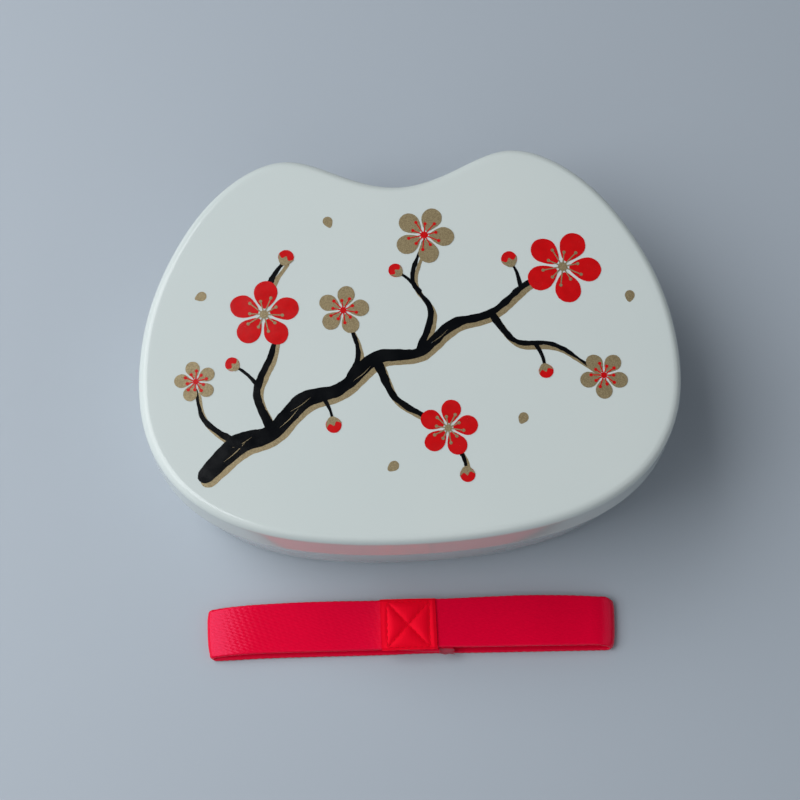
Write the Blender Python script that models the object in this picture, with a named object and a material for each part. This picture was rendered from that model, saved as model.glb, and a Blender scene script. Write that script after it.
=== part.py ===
"""A cat-head lunch box: container, divider, sealed inner lid, outer lid, and an elastic belt beside it.

Units are metres and +Z is up. The origin is on the container's flat underside, below the middle of
the lid. The two ears point to +Y and the chin to -Y. The belt lies in front of the chin on the
surface that the container stands on.
"""
import math

import bpy
import numpy as np

# Head outline, at the outer lid's rim
LID_WIDTH = 0.1680
LID_DEPTH = 0.1276
EAR_SPACING = 0.0715
EAR_DIP = 0.0108

# Outer lid
LID_HEADROOM = 0.0011
LID_TOP = 0.0022
LID_WALL = 0.0017
LID_FILLET = 0.0029
LID_INNER_FILLET = 0.0018
LID_RIM_ROUND = 0.0004
SKIRT_FLARE = math.radians(3.6)
LID_CLEARANCE = 0.0005

# Container
LEDGE_HEIGHT = 0.0374
NECK_HEIGHT = 0.0091
NECK_WALL = 0.0014
BODY_SETBACK = 0.0006
LEDGE_ROUND = 0.0005
WALL_TAPER = math.radians(5.0)
CAVITY_TAPER = math.radians(3.6)
BASE_FILLET = 0.0060
FLOOR_THICKNESS = 0.0022
FLOOR_FILLET = 0.0050

# Inner lid and its seal
INNER_LID_TOP = 0.0015
FLANGE_INSET = 0.0003
PLUG_DEPTH = 0.0055
PLUG_WALL = 0.0030
PLUG_CLEARANCE = 0.0006
INNER_LID_ROUND = 0.0004
GROOVE_WIDTH = 0.0024
GROOVE_DEPTH = 0.0013
GROOVE_BELOW_FLANGE = 0.0016
SEAL_CLEARANCE = 0.0003
GRIP_LENGTH = 0.0300
GRIP_WIDTH = 0.0030
GRIP_HEIGHT = 0.0014
GRIP_FROM_EDGE = 0.0090

# Divider
DIVIDER_X = 0.0180
DIVIDER_THICKNESS = 0.0016
DIVIDER_HEADROOM = 0.0012
DIVIDER_CLEARANCE = 0.0004
FOOT_WIDTH = 0.0120
FOOT_THICKNESS = 0.0012

# Belt
BELT_LENGTH = 0.1327
BELT_WIDTH = 0.0160
BELT_THICKNESS = 0.0013
BELT_X = -0.0035
BELT_FROM_LID = 0.0101
BELT_TURN = math.radians(-1.95)
LEFT_FOLD_GAP = 0.0020
RIGHT_FOLD_GAP = 0.0030
FOLD_TURN = 0.0012
LAP_GAP = 0.0022
BELT_CROWN_X = 0.0370
UPPER_LAYER_SHIFT = 0.0013
TAIL_SHIFT = 0.0001
OVERLAP_GAP = 0.0004
OVERLAP_TAIL = 0.0054
PATCH_X = -0.0008
PATCH_LENGTH = 0.0177
PATCH_FORWARD = 0.0003
PATCH_OVERHANG = 0.0002
PATCH_THICKNESS = 0.0007
STITCH_WIDTH = 0.0005
STITCH_FROM_SIDES = 0.0020
STITCH_FROM_EDGES = 0.0009

# Shared clearance between pieces that rest on each other
REST_GAP = 0.0003

# Mesh fineness
OUTLINE_STEPS = 120
FILLET_STEPS = 5
FOLD_STEPS = 5
STRIP_STEPS = 14

# The head's right half from the chin up to the ear, in shares of the half width and half depth
CHEEK_SHARES = (
    (0.356, -0.969),
    (0.639, -0.874),
    (0.851, -0.688),
    (0.975, -0.404),
    (1.000, -0.131),
    (0.958, 0.241),
    (0.850, 0.566),
    (0.677, 0.852),
)
# The ear's inner side, in shares of the ear's distance from the middle and of the dip's depth
EAR_SIDE_SHARES = (0.445, 0.365)


# Head outline

def head_points():
    """Named points of the whole outline, anticlockwise from the chin."""
    half_width = LID_WIDTH / 2
    half_depth = LID_DEPTH / 2
    ear_x = EAR_SPACING / 2
    dip_y = half_depth - EAR_DIP
    right = [(across * half_width, along * half_depth) for across, along in CHEEK_SHARES]
    right.append((ear_x, half_depth))
    right.append((EAR_SIDE_SHARES[0] * ear_x, dip_y + EAR_SIDE_SHARES[1] * EAR_DIP))
    left = [(-x, y) for x, y in reversed(right)]
    return np.array([(0.0, -half_depth)] + right + [(0.0, dip_y)] + left)


def closed_spline(points, steps):
    """Points and outward normals of a smooth closed curve through the given points."""
    count = len(points)
    spans = np.linalg.norm(np.roll(points, -1, axis=0) - points, axis=1)
    before = np.roll(spans, 1)
    system = np.zeros((count, count))
    right_side = np.zeros((count, 2))
    for i in range(count):
        after = (i + 1) % count
        system[i, i - 1] = before[i]
        system[i, i] = 2 * (before[i] + spans[i])
        system[i, after] = spans[i]
        slope_after = (points[after] - points[i]) / spans[i]
        slope_before = (points[i] - points[i - 1]) / before[i]
        right_side[i] = 6 * (slope_after - slope_before)
    bend = np.linalg.solve(system, right_side)
    ends = np.cumsum(spans)
    places = []
    normals = []
    for along in np.arange(steps) * ends[-1] / steps:
        i = int(np.searchsorted(ends, along, side="right"))
        after = (i + 1) % count
        span = spans[i]
        b = (along - (ends[i] - span)) / span
        a = 1 - b
        place = a * points[i] + b * points[after]
        place = place + span ** 2 / 6 * ((a ** 3 - a) * bend[i] + (b ** 3 - b) * bend[after])
        slope = (points[after] - points[i]) / span
        slope = slope + span / 6 * ((3 * b ** 2 - 1) * bend[after] - (3 * a ** 2 - 1) * bend[i])
        places.append(place)
        normals.append(np.array([slope[1], -slope[0]]) / np.linalg.norm(slope))
    return np.array(places), np.array(normals)


OUTLINE, OUTLINE_NORMALS = closed_spline(head_points(), OUTLINE_STEPS)


def ring_at(offset):
    """The head outline moved outward by an offset, which is negative inside the lid's rim."""
    return OUTLINE + OUTLINE_NORMALS * offset


def crossing(offset, x):
    """Front and back y where a line of constant x crosses the ring at an offset."""
    ring = ring_at(offset)
    found = []
    for start, end in zip(ring, np.roll(ring, -1, axis=0)):
        if (start[0] - x) * (end[0] - x) <= 0 and start[0] != end[0]:
            share = (x - start[0]) / (end[0] - start[0])
            found.append(start[1] + share * (end[1] - start[1]))
    return min(found), max(found)


# Mesh helpers

def corner_arc(centre, radius, first, last, steps=FILLET_STEPS):
    """Profile points (offset, height) round a corner, from one angle to another in degrees."""
    points = []
    for i in range(steps + 1):
        angle = math.radians(first + (last - first) * i / steps)
        points.append((centre[0] + radius * math.cos(angle), centre[1] + radius * math.sin(angle)))
    return points


def finish_object(name, points, faces, material):
    """A closed mesh object with outward faces and smooth round stretches."""
    mesh = bpy.data.meshes.new(name)
    mesh.from_pydata([tuple(float(c) for c in p) for p in points], [], faces)
    mesh.validate()
    mesh.shade_smooth()
    mesh.set_sharp_from_angle(angle=math.radians(40))
    mesh.materials.append(material)
    piece = bpy.data.objects.new(name, mesh)
    bpy.context.scene.collection.objects.link(piece)
    return piece


def head_shell(name, profile, material, closed=False):
    """Sweep a profile of (offset, height) round the head outline.

    An open profile is capped flat at both ends, and a closed one makes an endless ring. The profile
    runs up the outer side and down the inner side.
    """
    points = []
    for offset, height in profile:
        points.extend((x, y, height) for x, y in ring_at(offset))
    faces = []
    rows = len(profile)
    for row in range(rows if closed else rows - 1):
        low = row * OUTLINE_STEPS
        high = (row + 1) % rows * OUTLINE_STEPS
        for i in range(OUTLINE_STEPS):
            j = (i + 1) % OUTLINE_STEPS
            faces.append((low + i, low + j, high + j, high + i))
    if not closed:
        faces.append(tuple(reversed(range(OUTLINE_STEPS))))
        last = (rows - 1) * OUTLINE_STEPS
        faces.append(tuple(last + i for i in range(OUTLINE_STEPS)))
    return finish_object(name, points, faces, material)


def block(low, high):
    """Corner points and faces of a box between two opposite corners."""
    xs, ys, zs = zip(low, high)
    points = [(x, y, z) for z in zs for y in ys for x in xs]
    faces = [(0, 2, 3, 1), (4, 5, 7, 6), (0, 1, 5, 4), (1, 3, 7, 5), (3, 2, 6, 7), (2, 0, 4, 6)]
    return points, faces


def join_solid(piece, tool):
    """Unite a piece with a hidden tool object."""
    tool.hide_render = True
    tool.display_type = "WIRE"
    union = piece.modifiers.new("join", "BOOLEAN")
    union.operation = "UNION"
    union.solver = "EXACT"
    union.object = tool


def make_material(name, colour, roughness, metallic=0.0):
    """A Principled material of one colour."""
    material = bpy.data.materials.new(name)
    material.use_nodes = True
    shader = material.node_tree.nodes["Principled BSDF"]
    shader.inputs["Base Color"].default_value = (*colour, 1.0)
    shader.inputs["Roughness"].default_value = roughness
    shader.inputs["Metallic"].default_value = metallic
    material.diffuse_color = (*colour, 1.0)
    return material


# Heights and offsets that neighbouring pieces share

def neck_top():
    return LEDGE_HEIGHT + NECK_HEIGHT


def lid_rim_height():
    return LEDGE_HEIGHT + REST_GAP


def skirt_lean(height):
    """How far the lid's skirt has leaned inward at a height."""
    return (height - lid_rim_height()) * math.tan(SKIRT_FLARE)


def neck_offset(height):
    """Outer side of the neck, which the skirt slides over."""
    return -(LID_WALL + LID_CLEARANCE) - skirt_lean(height)


def cavity_offset(height):
    """Inner side of the container's wall."""
    rim = neck_offset(neck_top()) - NECK_WALL
    return rim - (neck_top() - height) * math.tan(CAVITY_TAPER)


def body_offset(height):
    """Outer side of the container's wall below the ledge."""
    return -BODY_SETBACK - (LEDGE_HEIGHT - height) * math.tan(WALL_TAPER)


def flange_height():
    return neck_top() + REST_GAP


def plug_offset(height):
    """Outer side of the inner lid's plug, which follows the container's wall."""
    return cavity_offset(height) - PLUG_CLEARANCE


def plug_bottom():
    return flange_height() - PLUG_DEPTH


# Box pieces

def make_container(material):
    """Cup with a flat base, a tapered wall, a ledge for the outer lid and a neck."""
    taper = math.degrees(WALL_TAPER)
    foot = (body_offset(BASE_FILLET) - BASE_FILLET / math.cos(WALL_TAPER), BASE_FILLET)
    profile = corner_arc(foot, BASE_FILLET, -90, -taper)
    edge = (body_offset(LEDGE_HEIGHT - LEDGE_ROUND) - LEDGE_ROUND, LEDGE_HEIGHT - LEDGE_ROUND)
    profile += corner_arc(edge, LEDGE_ROUND, 0, 90, 2)
    profile.append((neck_offset(LEDGE_HEIGHT), LEDGE_HEIGHT))
    outer = neck_offset(neck_top())
    inner = cavity_offset(neck_top())
    lip = min(LEDGE_ROUND, NECK_WALL / 3)
    profile.append((outer, neck_top() - lip))
    profile.append((outer - lip, neck_top()))
    profile.append((inner + lip, neck_top()))
    profile.append((inner, neck_top() - lip))
    bend = FLOOR_THICKNESS + FLOOR_FILLET
    hollow = (cavity_offset(bend) - FLOOR_FILLET / math.cos(CAVITY_TAPER), bend)
    profile += corner_arc(hollow, FLOOR_FILLET, -math.degrees(CAVITY_TAPER), -90, 4)
    return head_shell("container", profile, material)


def make_outer_lid(material):
    """Shallow cap with a rounded top edge and a flared skirt."""
    rim = lid_rim_height()
    under = flange_height() + INNER_LID_TOP + GRIP_HEIGHT + LID_HEADROOM
    top = under + LID_TOP
    flare = math.degrees(SKIRT_FLARE)
    shoulder = top - LID_FILLET
    outer = (-skirt_lean(shoulder) - LID_FILLET / math.cos(SKIRT_FLARE), shoulder)
    bend = under - LID_INNER_FILLET
    inner = (-LID_WALL - skirt_lean(bend) - LID_INNER_FILLET / math.cos(SKIRT_FLARE), bend)
    profile = corner_arc(inner, LID_INNER_FILLET, 90, flare, 3)
    profile.append((-LID_WALL, rim + LID_RIM_ROUND))
    profile.append((-LID_WALL + LID_RIM_ROUND, rim))
    profile.append((-LID_RIM_ROUND, rim))
    profile.append((0.0, rim + LID_RIM_ROUND))
    profile += corner_arc(outer, LID_FILLET, flare, 90, 6)
    return head_shell("outer_lid", profile, material)


def make_inner_lid(material):
    """Flat lid on the neck, with a plug that holds the seal and a ridge to lift it by."""
    low = flange_height()
    high = low + INNER_LID_TOP
    bottom = plug_bottom()
    groove_top = low - GROOVE_BELOW_FLANGE
    groove_low = groove_top - GROOVE_WIDTH
    inside = plug_offset(bottom) - PLUG_WALL
    edge = neck_offset(low) - FLANGE_INSET
    cut = INNER_LID_ROUND
    profile = [(inside, low), (inside, bottom + cut), (inside + cut, bottom)]
    profile += [(plug_offset(bottom) - cut, bottom), (plug_offset(bottom + cut), bottom + cut)]
    profile.append((plug_offset(groove_low), groove_low))
    profile.append((plug_offset(groove_low) - GROOVE_DEPTH, groove_low))
    profile.append((plug_offset(groove_low) - GROOVE_DEPTH, groove_top))
    profile.append((plug_offset(groove_top), groove_top))
    profile.append((plug_offset(low), low))
    profile += [(edge - cut, low), (edge, low + cut), (edge, high - cut), (edge - cut, high)]
    lid = head_shell("inner_lid", profile, material)
    front = crossing(edge, 0.0)[0] + GRIP_FROM_EDGE
    corner = (-GRIP_LENGTH / 2, front, (low + high) / 2)
    opposite = (GRIP_LENGTH / 2, front + GRIP_WIDTH, high + GRIP_HEIGHT)
    points, faces = block(corner, opposite)
    grip = finish_object("inner_lid_grip_tool", points, faces, material)
    join_solid(lid, grip)
    return lid


def make_gasket(material):
    """Seal ring with two lips, seated in the plug's groove."""
    groove_top = flange_height() - GROOVE_BELOW_FLANGE
    low = groove_top - GROOVE_WIDTH + SEAL_CLEARANCE
    high = groove_top - SEAL_CLEARANCE
    middle = (low + high) / 2
    back = plug_offset(low + SEAL_CLEARANCE) - GROOVE_DEPTH + SEAL_CLEARANCE
    lip = cavity_offset(low) - SEAL_CLEARANCE
    waist = lip - SEAL_CLEARANCE
    lip_height = (high - low) / 4
    profile = [(back, low), (waist, low), (lip, low + lip_height), (waist, middle)]
    profile += [(lip, high - lip_height), (waist, high), (back, high)]
    return head_shell("inner_lid_gasket", profile, material, closed=True)


def divider_span(height, half_thickness):
    """Front and back y of the divider at a height, inside the container's wall and floor fillet."""
    bend = FLOOR_THICKNESS + FLOOR_FILLET
    offset = cavity_offset(height) - DIVIDER_CLEARANCE
    if height < bend:
        reach = FLOOR_FILLET - DIVIDER_CLEARANCE
        offset = cavity_offset(bend) - FLOOR_FILLET
        offset += math.sqrt(max(0.0, reach ** 2 - (bend - height) ** 2))
    spans = [crossing(offset, DIVIDER_X + side * half_thickness) for side in (-1, 1)]
    return max(span[0] for span in spans), min(span[1] for span in spans)


def make_divider(material):
    """Upright plate that follows the container's section, on a flat foot."""
    floor = FLOOR_THICKNESS + REST_GAP
    top = plug_bottom() - DIVIDER_HEADROOM
    fillet_heights = [floor + FLOOR_FILLET * share for share in (0.0, 0.1, 0.3, 0.6, 1.0)]
    half = DIVIDER_THICKNESS / 2
    spans = [(height, *divider_span(height, half)) for height in fillet_heights + [top]]
    section = [(front, height) for height, front, back in spans]
    section += [(back, height) for height, front, back in reversed(spans)]
    count = len(section)
    points = [(DIVIDER_X + side * half, y, z) for side in (-1, 1) for y, z in section]
    faces = [tuple(range(count)), tuple(reversed(range(count, 2 * count)))]
    for i in range(count):
        j = (i + 1) % count
        faces.append((i, i + count, j + count, j))
    plate = finish_object("divider", points, faces, material)
    front, back = divider_span(floor, FOOT_WIDTH / 2)
    low = (DIVIDER_X - FOOT_WIDTH / 2, front, floor)
    high = (DIVIDER_X + FOOT_WIDTH / 2, back, floor + FOOT_THICKNESS)
    points, faces = block(low, high)
    join_solid(plate, finish_object("divider_foot_tool", points, faces, material))
    return plate


# Belt

def belt_to_world(x, y, z):
    """A point in the belt's own frame, x along it and y across it, on the surface in front of the box."""
    turned_x = x * math.cos(BELT_TURN) - y * math.sin(BELT_TURN)
    turned_y = x * math.sin(BELT_TURN) + y * math.cos(BELT_TURN)
    centre_y = -LID_DEPTH / 2 - BELT_FROM_LID - BELT_WIDTH / 2
    return BELT_X + turned_x, centre_y + turned_y, z


def smooth_step(value):
    value = min(1.0, max(0.0, value))
    return value * value * (3 - 2 * value)


def fold_height(gap):
    """Outside height of a fold that leaves a gap between its two layers."""
    return 2 * BELT_THICKNESS + gap


def fold_drop(gap):
    """How far the strip's middle line falls in the upper quarter of a fold."""
    return BELT_THICKNESS + gap - FOLD_TURN


def fold_reach(gap):
    """Length of a fold's upper quarter, an ellipse as round at its end as the turn below it."""
    return fold_drop(gap) ** 2 / FOLD_TURN


def loop_end():
    """How far the strip's middle line reaches from the middle of the loop."""
    return BELT_LENGTH / 2 - BELT_THICKNESS / 2


def tail_level():
    """Middle height of the strip's inner end, the lower of the two layers under the patch."""
    return BELT_THICKNESS * 1.5 + LAP_GAP


def crown_level():
    """Middle height of the strip's outer end, which lies on the inner one."""
    return tail_level() + BELT_THICKNESS + OVERLAP_GAP


def right_fold_x():
    return loop_end() - fold_reach(RIGHT_FOLD_GAP)


def left_fold_x():
    return fold_reach(LEFT_FOLD_GAP) - loop_end()


def patch_side(side):
    """Left or right side of the patch, for side -1 or 1."""
    return PATCH_X + side * PATCH_LENGTH / 2


def upper_height(x):
    """Middle height of the upper layer from the patch to the right fold."""
    end = fold_height(RIGHT_FOLD_GAP) - BELT_THICKNESS / 2
    share = (x - BELT_CROWN_X) / (right_fold_x() - BELT_CROWN_X)
    return crown_level() + (end - crown_level()) * smooth_step(share)


def tail_height(x):
    """Middle height of the upper layer from the left fold to under the patch."""
    low = fold_height(LEFT_FOLD_GAP) - BELT_THICKNESS / 2
    share = (x - left_fold_x()) / (patch_side(-1) - left_fold_x())
    return low + (tail_level() - low) * smooth_step(share)


def tail_shift(x):
    """How far back the strip's inner end lies of the lower layer, as it slants under the patch."""
    share = (x - patch_side(-1)) / PATCH_LENGTH
    return UPPER_LAYER_SHIFT + (TAIL_SHIFT - UPPER_LAYER_SHIFT) * smooth_step(share)


def fold(side, gap):
    """Half turn at the left or right end of the loop, from its upper layer to its lower one.

    The upper quarter falls in a long curve and the lower quarter is round. The points are
    (x, back shift, z).
    """
    points = []
    for i in range(1, 2 * FOLD_STEPS):
        angle = math.radians(90 - 90 * i / FOLD_STEPS)
        above = i < FOLD_STEPS
        reach = fold_reach(gap) if above else FOLD_TURN
        drop = fold_drop(gap) if above else FOLD_TURN
        x = side * (loop_end() - reach + reach * math.cos(angle))
        rise = FOLD_TURN + drop * math.sin(angle)
        points.append((x, UPPER_LAYER_SHIFT * rise / (BELT_THICKNESS + gap), BELT_THICKNESS / 2 + rise))
    return points


def belt_route():
    """The strip's middle line as (x, back shift, z), from its outer end right, under, and left again."""
    start = patch_side(-1)
    end = patch_side(1) + OVERLAP_TAIL
    under = loop_end() - FOLD_TURN
    route = []
    for i in range(STRIP_STEPS + 1):
        x = start + (right_fold_x() - start) * i / STRIP_STEPS
        route.append((x, UPPER_LAYER_SHIFT, upper_height(x)))
    route += fold(1, RIGHT_FOLD_GAP)
    for i in range(STRIP_STEPS + 1):
        route.append((under - 2 * under * i / STRIP_STEPS, 0.0, BELT_THICKNESS / 2))
    route += reversed(fold(-1, LEFT_FOLD_GAP))
    for i in range(STRIP_STEPS + 1):
        x = left_fold_x() + (end - left_fold_x()) * i / STRIP_STEPS
        route.append((x, tail_shift(x), tail_height(x)))
    return np.array(route)


def make_belt_band(material):
    """One flat strip, looped flat with its two ends lapped under the patch."""
    route = belt_route()
    points = []
    for i, (x, shift, z) in enumerate(route):
        ahead = route[min(i + 1, len(route) - 1)] - route[max(i - 1, 0)]
        length = math.hypot(ahead[0], ahead[2])
        normal_x = -ahead[2] / length
        normal_z = ahead[0] / length
        for across, through in ((-1, -1), (1, -1), (1, 1), (-1, 1)):
            px = x + normal_x * through * BELT_THICKNESS / 2
            pz = z + normal_z * through * BELT_THICKNESS / 2
            points.append(belt_to_world(px, across * BELT_WIDTH / 2 + shift, pz))
    faces = []
    for i in range(len(route) - 1):
        for k in range(4):
            j = (k + 1) % 4
            faces.append((4 * i + k, 4 * i + j, 4 * (i + 1) + j, 4 * (i + 1) + k))
    last = 4 * (len(route) - 1)
    faces.append((3, 2, 1, 0))
    faces.append((last, last + 1, last + 2, last + 3))
    return finish_object("belt_band", points, faces, material)


def patch_centre():
    """Middle of the patch's underside in the belt's frame."""
    return PATCH_X, UPPER_LAYER_SHIFT - PATCH_FORWARD, crown_level() + BELT_THICKNESS / 2 + REST_GAP


def patch_half_width():
    return BELT_WIDTH / 2 + PATCH_OVERHANG


def make_belt_patch(material):
    """Small padded square over the lapped ends, crowned a little in the middle."""
    centre_x, centre_y, base = patch_centre()
    half_x = PATCH_LENGTH / 2
    half_y = patch_half_width()
    rim = PATCH_THICKNESS / 2
    levels = ((1.0, 0.0), (1.0, rim), (0.95, PATCH_THICKNESS))
    points = []
    for share, height in levels:
        for side_x, side_y in ((-1, -1), (1, -1), (1, 1), (-1, 1)):
            x = centre_x + side_x * half_x * share
            y = centre_y + side_y * half_y * share
            points.append(belt_to_world(x, y, base + height))
    faces = [(3, 2, 1, 0), (8, 9, 10, 11)]
    for level in (0, 4):
        for i in range(4):
            j = (i + 1) % 4
            faces.append((level + i, level + j, level + 4 + j, level + 4 + i))
    return finish_object("belt_patch", points, faces, material)


def make_belt_stitching(material):
    """Thread sewn through the patch: a box with a cross inside it, as one flat raised line."""
    centre_x, centre_y, base = patch_centre()
    level = base + PATCH_THICKNESS + REST_GAP
    half_x = PATCH_LENGTH / 2 - STITCH_FROM_SIDES
    half_y = patch_half_width() - STITCH_FROM_EDGES
    corners = [(-half_x, -half_y), (half_x, -half_y), (half_x, half_y), (-half_x, half_y)]
    cross_slope = math.atan2(half_y, half_x)
    along = STITCH_WIDTH * (1 + math.cos(cross_slope)) / (2 * math.sin(cross_slope)) + STITCH_WIDTH / 2
    across = STITCH_WIDTH * (1 + math.sin(cross_slope)) / (2 * math.cos(cross_slope)) + STITCH_WIDTH / 2
    flat = list(corners)
    for i, (x, y) in enumerate(corners):
        next_x, next_y = corners[(i + 1) % 4]
        inward_x = -math.copysign(STITCH_WIDTH, x) if x == next_x else 0.0
        inward_y = -math.copysign(STITCH_WIDTH, y) if y == next_y else 0.0
        run_x = math.copysign(along, next_x - x) if x != next_x else 0.0
        run_y = math.copysign(across, next_y - y) if y != next_y else 0.0
        flat.append((x + inward_x + run_x, y + inward_y + run_y))
        flat.append((next_x + inward_x - run_x, next_y + inward_y - run_y))
        tip_x = STITCH_WIDTH / 2 / math.sin(cross_slope) if x == next_x else 0.0
        tip_y = STITCH_WIDTH / 2 / math.cos(cross_slope) if y == next_y else 0.0
        flat.append((math.copysign(tip_x, x) if tip_x else 0.0, math.copysign(tip_y, y) if tip_y else 0.0))
    points = []
    for rise in (0.0, STITCH_WIDTH):
        points.extend(belt_to_world(centre_x + x, centre_y + y, level + rise) for x, y in flat)
    tops = [tuple(4 + 3 * i + 2 for i in range(4))]
    walls = [(i, (i + 1) % 4) for i in range(4)]
    for i in range(4):
        near, far, tip = (4 + 3 * i + k for k in range(3))
        before_far, before_tip = (4 + 3 * ((i - 1) % 4) + k for k in (1, 2))
        tops.append((i, (i + 1) % 4, far, near))
        tops.append((i, near, tip, before_tip, before_far))
        walls += [(far, near), (tip, far), (near, tip)]
    count = len(flat)
    faces = [tuple(reversed(top)) for top in tops]
    faces += [tuple(count + i for i in top) for top in tops]
    faces += [(a, b, b + count, a + count) for a, b in walls]
    return finish_object("belt_stitching", points, faces, material)


def main():
    for old in list(bpy.data.objects):
        bpy.data.objects.remove(old, do_unlink=True)
    lacquer = make_material("white_lacquer", (0.80, 0.81, 0.79), 0.12)
    plastic = make_material("milky_plastic", (0.78, 0.79, 0.78), 0.35)
    silicone = make_material("clear_silicone", (0.70, 0.72, 0.73), 0.45)
    webbing = make_material("red_webbing", (0.62, 0.01, 0.04), 0.75)
    satin = make_material("red_satin", (0.70, 0.01, 0.03), 0.45)
    thread = make_material("red_thread", (0.55, 0.01, 0.02), 0.55)
    make_container(lacquer)
    make_divider(plastic)
    make_inner_lid(plastic)
    make_gasket(silicone)
    make_outer_lid(lacquer)
    make_belt_band(webbing)
    make_belt_patch(satin)
    make_belt_stitching(thread)


main()
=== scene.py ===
"""Looks of a cat-head lunch box and its elastic belt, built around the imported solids.

Metres, +Z up, in the solids' own frame: ears to +Y, chin to -Y, the belt in front of the chin.
"""
import math
import random

import bpy
import numpy as np
from mathutils import Matrix, Vector, noise


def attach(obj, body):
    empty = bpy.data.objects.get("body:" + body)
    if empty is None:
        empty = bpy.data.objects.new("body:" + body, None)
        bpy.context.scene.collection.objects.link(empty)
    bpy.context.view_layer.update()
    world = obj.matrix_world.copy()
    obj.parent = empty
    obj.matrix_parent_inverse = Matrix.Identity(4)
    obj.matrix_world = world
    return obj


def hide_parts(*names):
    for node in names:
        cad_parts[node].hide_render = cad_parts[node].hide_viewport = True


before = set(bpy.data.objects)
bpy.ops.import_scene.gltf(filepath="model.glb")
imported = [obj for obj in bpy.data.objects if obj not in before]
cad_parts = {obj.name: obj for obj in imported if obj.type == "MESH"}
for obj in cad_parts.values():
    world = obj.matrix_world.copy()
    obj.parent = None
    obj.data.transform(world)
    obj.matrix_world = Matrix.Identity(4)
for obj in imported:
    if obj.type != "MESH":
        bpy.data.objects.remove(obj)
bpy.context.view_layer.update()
MM = 0.001

# Sizes of the box, as its solids have them
LID_WIDTH = 0.1680
LID_DEPTH = 0.1276
EAR_SPACING = 0.0715
EAR_DIP = 0.0108
LID_HEADROOM = 0.0011
LID_TOP = 0.0022
LID_WALL = 0.0017
LID_FILLET = 0.0029
LID_INNER_FILLET = 0.0018
LID_RIM_ROUND = 0.0004
SKIRT_FLARE = math.radians(3.6)
LID_CLEARANCE = 0.0005
LEDGE_HEIGHT = 0.0374
NECK_HEIGHT = 0.0091
NECK_WALL = 0.0014
BODY_SETBACK = 0.0006
LEDGE_ROUND = 0.0005
WALL_TAPER = math.radians(5.0)
CAVITY_TAPER = math.radians(3.6)
BASE_FILLET = 0.0060
FLOOR_THICKNESS = 0.0022
FLOOR_FILLET = 0.0050
INNER_LID_TOP = 0.0015
FLANGE_INSET = 0.0003
PLUG_DEPTH = 0.0055
PLUG_WALL = 0.0030
PLUG_CLEARANCE = 0.0006
INNER_LID_ROUND = 0.0004
GROOVE_WIDTH = 0.0024
GROOVE_DEPTH = 0.0013
GROOVE_BELOW_FLANGE = 0.0016
SEAL_CLEARANCE = 0.0003
GRIP_LENGTH = 0.0300
GRIP_WIDTH = 0.0030
GRIP_HEIGHT = 0.0014
GRIP_FROM_EDGE = 0.0090
DIVIDER_X = 0.0180
DIVIDER_THICKNESS = 0.0016
DIVIDER_HEADROOM = 0.0012
DIVIDER_CLEARANCE = 0.0004
FOOT_WIDTH = 0.0120
FOOT_THICKNESS = 0.0012
REST_GAP = 0.0003

# Sizes of the belt, as its solids have them
BELT_LENGTH = 0.1327
BELT_WIDTH = 0.0160
BELT_THICKNESS = 0.0013
BELT_X = -0.0035
BELT_FROM_LID = 0.0101
BELT_TURN = math.radians(-1.95)
LEFT_FOLD_GAP = 0.0020
RIGHT_FOLD_GAP = 0.0030
FOLD_TURN = 0.0012
LAP_GAP = 0.0022
BELT_CROWN_X = 0.0370
UPPER_LAYER_SHIFT = 0.0013
TAIL_SHIFT = 0.0001
OVERLAP_GAP = 0.0004
OVERLAP_TAIL = 0.0054
PATCH_X = -0.0008
PATCH_LENGTH = 0.0177
PATCH_FORWARD = 0.0003
PATCH_OVERHANG = 0.0002
STITCH_FROM_SIDES = 0.0020
STITCH_FROM_EDGES = 0.0009

# Head outline, in shares of the half width and half depth, as the solids have it
CHEEK_SHARES = ((0.356, -0.969), (0.639, -0.874), (0.851, -0.688), (0.975, -0.404), (1.000, -0.131),
                (0.958, 0.241), (0.850, 0.566), (0.677, 0.852))
EAR_SIDE_SHARES = (0.445, 0.365)
ROUND_STEPS = 360

# Camera, fitted to the photograph's silhouette of the box
CAMERA_LENS = 67.5
CAMERA_DISTANCE = 0.5111
CAMERA_AIM = (-0.00254, -0.00376)
CAMERA_ELEVATION = math.radians(73.95)
OBJECT_YAW = math.radians(3.16)
CAMERA_ROLL = math.radians(-0.10)


def unit(rows):
    """Rows of a table of directions, each scaled to length one."""
    return rows / np.linalg.norm(rows, axis=1)[:, None]


# Head outline

def head_points():
    """Named points of the whole outline, anticlockwise from the chin."""
    half_width = LID_WIDTH / 2
    half_depth = LID_DEPTH / 2
    ear_x = EAR_SPACING / 2
    dip_y = half_depth - EAR_DIP
    right = [(across * half_width, along * half_depth) for across, along in CHEEK_SHARES]
    right.append((ear_x, half_depth))
    right.append((EAR_SIDE_SHARES[0] * ear_x, dip_y + EAR_SIDE_SHARES[1] * EAR_DIP))
    left = [(-x, y) for x, y in reversed(right)]
    return np.array([(0.0, -half_depth)] + right + [(0.0, dip_y)] + left)


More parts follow.
